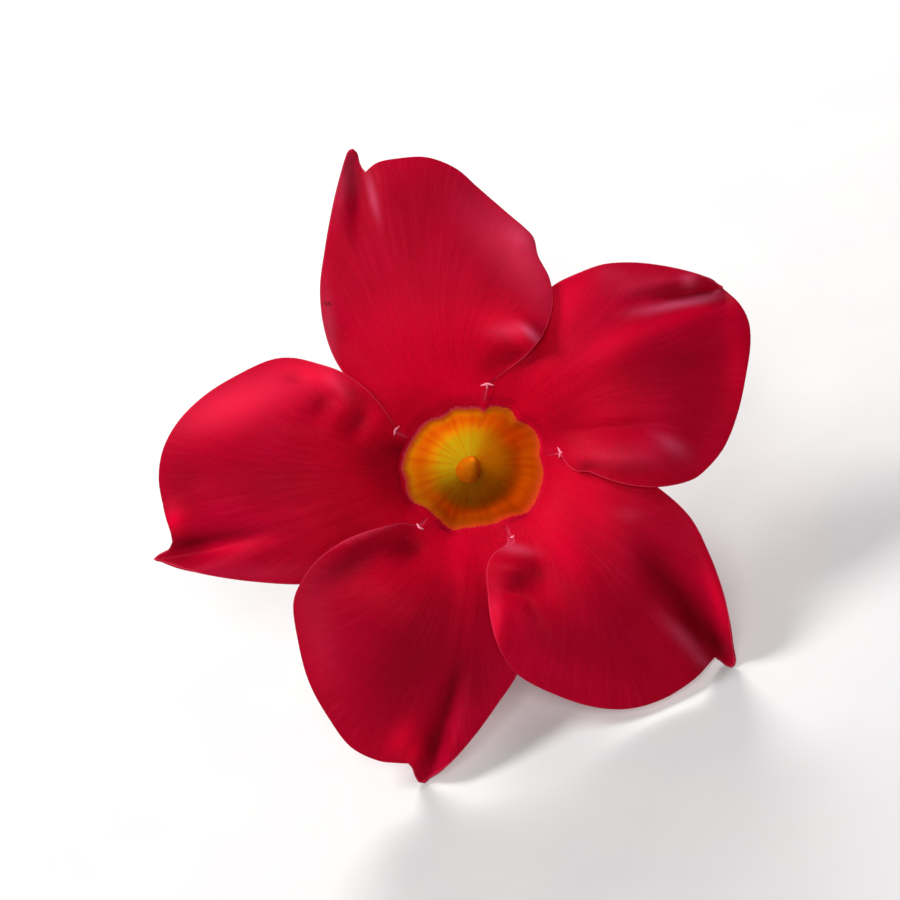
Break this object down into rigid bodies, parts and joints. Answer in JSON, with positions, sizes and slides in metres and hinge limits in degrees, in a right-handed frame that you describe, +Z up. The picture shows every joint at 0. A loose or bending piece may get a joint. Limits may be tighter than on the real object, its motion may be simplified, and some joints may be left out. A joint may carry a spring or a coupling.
{
  "type": "mandevilla flower",
  "caption": "Picked trumpet-shaped mandevilla bloom with overlapping pointed crimson petals, an orange-yellow throat, a slender tube, green calyx and cut stalk, lying on its side.",
  "frame": {"origin": "bottom centre of the bounding box, on the surface that the flower lies on", "axes": "+Z up; +X along the longest extent, from the left petal to the right petal as the face is looked at; the face looks towards -Y and up, and the stalk points to +Y"},
  "size_m": [0.0768, 0.0656, 0.0617],
  "materials": {
    "petal": "velvety, finely veined",
    "throat": "satin, ribbed",
    "anther": "matte",
    "pistil": "satin",
    "sepal": "satin",
    "pedicel": "satin"
  },
  "bodies": {
    "root": {"petal_1": "petal", "petal_2": "petal", "petal_3": "petal", "petal_4": "petal", "petal_5": "petal", "corolla_tube": "throat", "stamen_1": "anther", "stamen_2": "anther", "stamen_3": "anther", "stamen_4": "anther", "stamen_5": "anther", "pistil": "pistil", "sepal_1": "sepal", "sepal_2": "sepal", "sepal_3": "sepal", "sepal_4": "sepal", "sepal_5": "sepal", "pedicel": "pedicel"}
  },
  "joints": []
}
